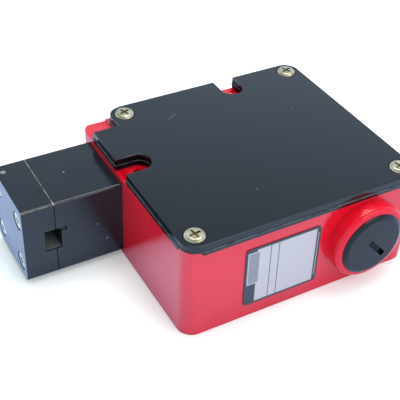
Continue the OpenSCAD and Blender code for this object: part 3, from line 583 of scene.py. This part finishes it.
# %% Lip, bevel and screw faces
def revolved(profile_mm, place, axis, name, node, finish, steps=96):
    """A ring or disc turned round axis, from (radius, height) points; height runs along axis."""
    form = bmesh.new()
    closed = profile_mm[0][0] > 0
    points = [form.verts.new((r / 1000, 0, h / 1000)) for r, h in profile_mm]
    pairs = list(zip(points, points[1:])) + ([(points[-1], points[0])] if closed else [])
    edges = [form.edges.new(pair) for pair in pairs]
    bmesh.ops.spin(form, geom=points + edges, cent=(0, 0, 0), axis=(0, 0, 1), angle=math.tau,
                   steps=steps, use_merge=True, dvec=(0, 0, 0))
    bmesh.ops.remove_doubles(form, verts=form.verts, dist=1e-6)
    bmesh.ops.recalc_face_normals(form, faces=form.faces)
    turn = Vector((0, 0, 1)).rotation_difference(Vector(axis)).to_matrix()
    for vert in form.verts:
        vert.co = turn @ vert.co + Vector(place)
    mesh = bpy.data.meshes.new(name)
    form.to_mesh(mesh)
    form.free()
    mesh.shade_smooth()
    mesh.set_sharp_from_angle(angle=math.radians(32))
    mesh.materials.append(finish)
    piece = bpy.data.objects.new(name, mesh)
    bpy.context.scene.collection.objects.link(piece)
    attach(piece, nodes[node]["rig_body"])
    return piece


PLUG_LOW, PLUG_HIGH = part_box("conduit_plug")
ENTRY = Vector(((PLUG_LOW.x + PLUG_HIGH.x) / 2, PLUG_LOW.y + 0.0078, (PLUG_LOW.z + PLUG_HIGH.z) / 2))
arc = [math.radians(a) for a in range(0, 91, 15)]
LIP_ROUND = 2.3
lip = ([(18.2, -1.5)] + [(18.2 - LIP_ROUND * (1 - math.cos(a)), 6.4 - LIP_ROUND * (1 - math.sin(a))) for a in arc]
       + [(13.6, 6.4), (13.6, 4.6), (14.6, -1.5)])
# The lip's enamel has its reflection turned down to 0.24, painted shade that keeps the lip deep red.
revolved(lip, ENTRY, (0, -1, 0), "boss_lip", "housing",
         red_enamel("stoved red enamel, lip reflection turned down", 0.24))
bevel = [(15.4, 6.3), (15.4, 6.62), (15.32, 6.8), (15.1, 6.97), (13.9, 7.62), (13.5, 7.77), (13.1, 7.815),
         (12.9, 7.8), (12.9, 6.3)]
revolved(bevel, ENTRY, (0, -1, 0), "plug_bevel", "conduit_plug", FINISHES["plug_nylon"])

SCREWS_LOW, SCREWS_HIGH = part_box("head_screws")
CAP_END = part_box("head_cap")[0].x
HEAD_MIDDLE = (SCREWS_LOW + SCREWS_HIGH) / 2
SCREW_REACH = (SCREWS_HIGH - SCREWS_LOW) / 2 - Vector((0, 0.004, 0.004))


def crossed_face():
    """Dull plating on the four screws, each with a dark cross as painted shade for a cross recess; the crosses are
    found by folding the face in four.
    """
    material = turned("dull plated screw face", "#dedbc4", 0.4)
    tree = material.node_tree
    shader = next(node for node in tree.nodes if node.bl_idname == "ShaderNodeBsdfPrincipled")
    parts = add(tree, "ShaderNodeSeparateXYZ", {"Vector": add(tree, "ShaderNodeTexCoord").outputs["Object"]})
    across = []
    for axis, middle, reach in (("Y", HEAD_MIDDLE.y, SCREW_REACH.y), ("Z", HEAD_MIDDLE.z, SCREW_REACH.z)):
        away = add(tree, "ShaderNodeMath", {0: parts.outputs[axis], 1: middle}, operation="SUBTRACT").outputs[0]
        across.append(add(tree, "ShaderNodeMath", {0: away}, operation="ABSOLUTE").outputs[0])
    u, v = across
    arm = combined(tree, "MULTIPLY", near(tree, u, SCREW_REACH.y, 0.5), near(tree, v, SCREW_REACH.z, 2.2))
    other = combined(tree, "MULTIPLY", near(tree, v, SCREW_REACH.z, 0.5), near(tree, u, SCREW_REACH.y, 2.2))
    # The dark cross is painted shade standing in for the cross recess, which is not modelled.
    cross = combined(tree, "MAXIMUM", arm, other)
    plain = shader.inputs["Base Color"]
    before = plain.links[0].from_socket if plain.links else tuple(plain.default_value)
    tree.links.new(mixed(tree, cross, before, linear("#0b0c0e")), plain)
    tree.links.new(ramp(tree, cross, 0, 1, (0.5, 0.05)), shader.inputs["Specular IOR Level"])
    metal = shader.inputs["Metallic"].default_value
    tree.links.new(ramp(tree, cross, 0, 1, (metal, 0.0)), shader.inputs["Metallic"])
    return material


plated = crossed_face()
for number, (y, z) in enumerate((y, z) for y in (SCREWS_LOW.y, SCREWS_HIGH.y) for z in (SCREWS_LOW.z, SCREWS_HIGH.z)):
    inward = Vector((0, 0.004 if y == SCREWS_LOW.y else -0.004, 0.004 if z == SCREWS_LOW.z else -0.004))
    revolved([(0, 0), (3.6, 0), (3.78, -0.08), (3.85, -0.25), (3.85, -1.5)], Vector((CAP_END + 0.0003, y, z)) + inward,
             (-1, 0, 0), f"head_screw_face_{number + 1}", "head_screws", plated, 48)
print("rings and discs added: 6")

# %% [markdown]
# The object stands on a plain white table. The floor is a broad sheet whose own colour is nearly white;
# for the camera it glows a little more, so that it ends in white and still keeps the soft shadow. That glow
# fades where the ambient-occlusion node finds the object close, a painted contact shadow. In reflections the
# floor is darker and bluer and glows pale blue, a painted reflection, brighter on the left as painted light
# and fading under the object as painted shadow.

# %% Floor
def white_floor():
    material = bpy.data.materials.new("matt white laminate")
    material.use_nodes = True
    tree = material.node_tree
    tree.nodes.clear()
    path = add(tree, "ShaderNodeLightPath")
    # For reflections the floor's colour is darker and bluer: a painted reflection colour.
    paint = add(tree, "ShaderNodeBsdfDiffuse", {"Color": mixed(tree, path.outputs["Is Glossy Ray"],
                                                               linear("#eff5f6"), linear("#b3c3dd"))})
    # Ambient occlusion near the object, used for the painted contact shadow.
    nook = add(tree, "ShaderNodeAmbientOcclusion", {"Distance": 0.016}, samples=8).outputs["AO"]
    under = ramp(tree, nook, 0.1, 0.85, (0.08, 1.0))
    place = add(tree, "ShaderNodeSeparateXYZ", {"Vector": add(tree, "ShaderNodeNewGeometry").outputs["Position"]})
    # The reflected glow is stronger on the left: a painted pool of light.
    painted_light_left = ramp(tree, place.outputs["X"], -0.05, -0.065, (0.8, 0.98))
    # The camera glow fades near the object as painted shadow, and the reflected glow fades under it too.
    seen = combined(tree, "MULTIPLY", path.outputs["Is Camera Ray"], ramp(tree, nook, 0.1, 0.7, (0.2, 0.38)))
    mirrored = combined(tree, "MULTIPLY", path.outputs["Is Glossy Ray"], painted_light_left, under)
    glow = add(tree, "ShaderNodeEmission", {"Color": linear("#f2ffff"), "Strength": seen})
    sheen = add(tree, "ShaderNodeEmission", {"Color": linear("#b9d6fb"), "Strength": mirrored})
    both = add(tree, "ShaderNodeAddShader", {0: glow.outputs[0], 1: sheen.outputs[0]})
    total = add(tree, "ShaderNodeAddShader", {0: paint.outputs[0], 1: both.outputs[0]})
    add(tree, "ShaderNodeOutputMaterial", {"Surface": total.outputs[0]})
    return material


form = bmesh.new()
bmesh.ops.create_grid(form, x_segments=1, y_segments=1, size=6.0)
mesh = bpy.data.meshes.new("table")
form.to_mesh(mesh)
form.free()
floor = bpy.data.objects.new("table", mesh)
bpy.context.scene.collection.objects.link(floor)
floor.location.z = cad_box[0].z - 0.0002
mesh.materials.append(white_floor())

# %% [markdown]
# The light is a white studio: an even world, one broad soft lamp above and behind on the right, so that
# the shade falls to the left front, and a weaker one in front.

# %% Light
world = bpy.data.worlds.new("studio")
bpy.context.scene.world = world
world.use_nodes = True
tree = world.node_tree
tree.nodes.clear()
path = add(tree, "ShaderNodeLightPath")
white = add(tree, "ShaderNodeBackground", {"Color": (1, 1, 1, 1), "Strength": 1.0})
even = add(tree, "ShaderNodeBackground", {"Color": linear("#f6f8fb"), "Strength": 0.68})
height = add(tree, "ShaderNodeSeparateXYZ", {"Vector": add(tree, "ShaderNodeTexCoord").outputs["Generated"]}).outputs["Z"]
dome = mixed(tree, ramp(tree, height, 0.45, 0.75), linear("#cfe3fa"), linear("#8898ab"))
mirror = add(tree, "ShaderNodeBackground", {"Color": dome, "Strength": 1.45})
gate = add(tree, "ShaderNodeMixShader", {0: path.outputs["Is Glossy Ray"], 1: even.outputs[0], 2: mirror.outputs[0]})
gate = add(tree, "ShaderNodeMixShader", {0: path.outputs["Is Camera Ray"], 1: gate.outputs[0], 2: white.outputs[0]})
add(tree, "ShaderNodeOutputWorld", {"Surface": gate.outputs[0]})


def lamp(name, place, aim, size, power, colour="#ffffff"):
    data = bpy.data.lights.new(name, "AREA")
    data.shape, data.size, data.energy = "SQUARE", size, power
    data.color = linear(colour)[:3]
    made = bpy.data.objects.new(name, data)
    bpy.context.scene.collection.objects.link(made)
    made.location = place
    made.rotation_mode = "QUATERNION"
    made.rotation_quaternion = (Vector(aim) - Vector(place)).to_track_quat("-Z", "Y")
    return made


lamp("broad lamp overhead", (0.3, 0.25, 1.5), (0, 0, 0), 0.9, 12.5)
lamp("soft lamp in front", (0.5, -1.2, 0.9), (0, 0, 0), 1.0, 6.5)

# %% [markdown]
# The camera was found by matching known points of the object to the picture: its place, its three axes
# and its focal length are that result.

# %% Camera
FOCAL_PX, FRAME_PX = 869.0, 400
right = Vector((0.8740, -0.4842, 0.0394))
up = Vector((0.27640, 0.56232, 0.77936))
forward = Vector((0.39949, 0.67034, -0.62534)).normalized()
right = forward.cross(up).normalized()
up = right.cross(forward)
data = bpy.data.cameras.new("camera")
data.sensor_width = 36.0
data.lens = FOCAL_PX / FRAME_PX * 36.0
camera = bpy.data.objects.new("camera", data)
bpy.context.scene.collection.objects.link(camera)
camera.matrix_world = Matrix.Translation((-0.17940, -0.26287, 0.26865)) @ Matrix(
    (right, up, -forward)).transposed().to_4x4()
bpy.context.scene.camera = camera
bpy.context.scene.view_settings.view_transform = "Standard"
print("lens:", round(data.lens, 2), "mm")
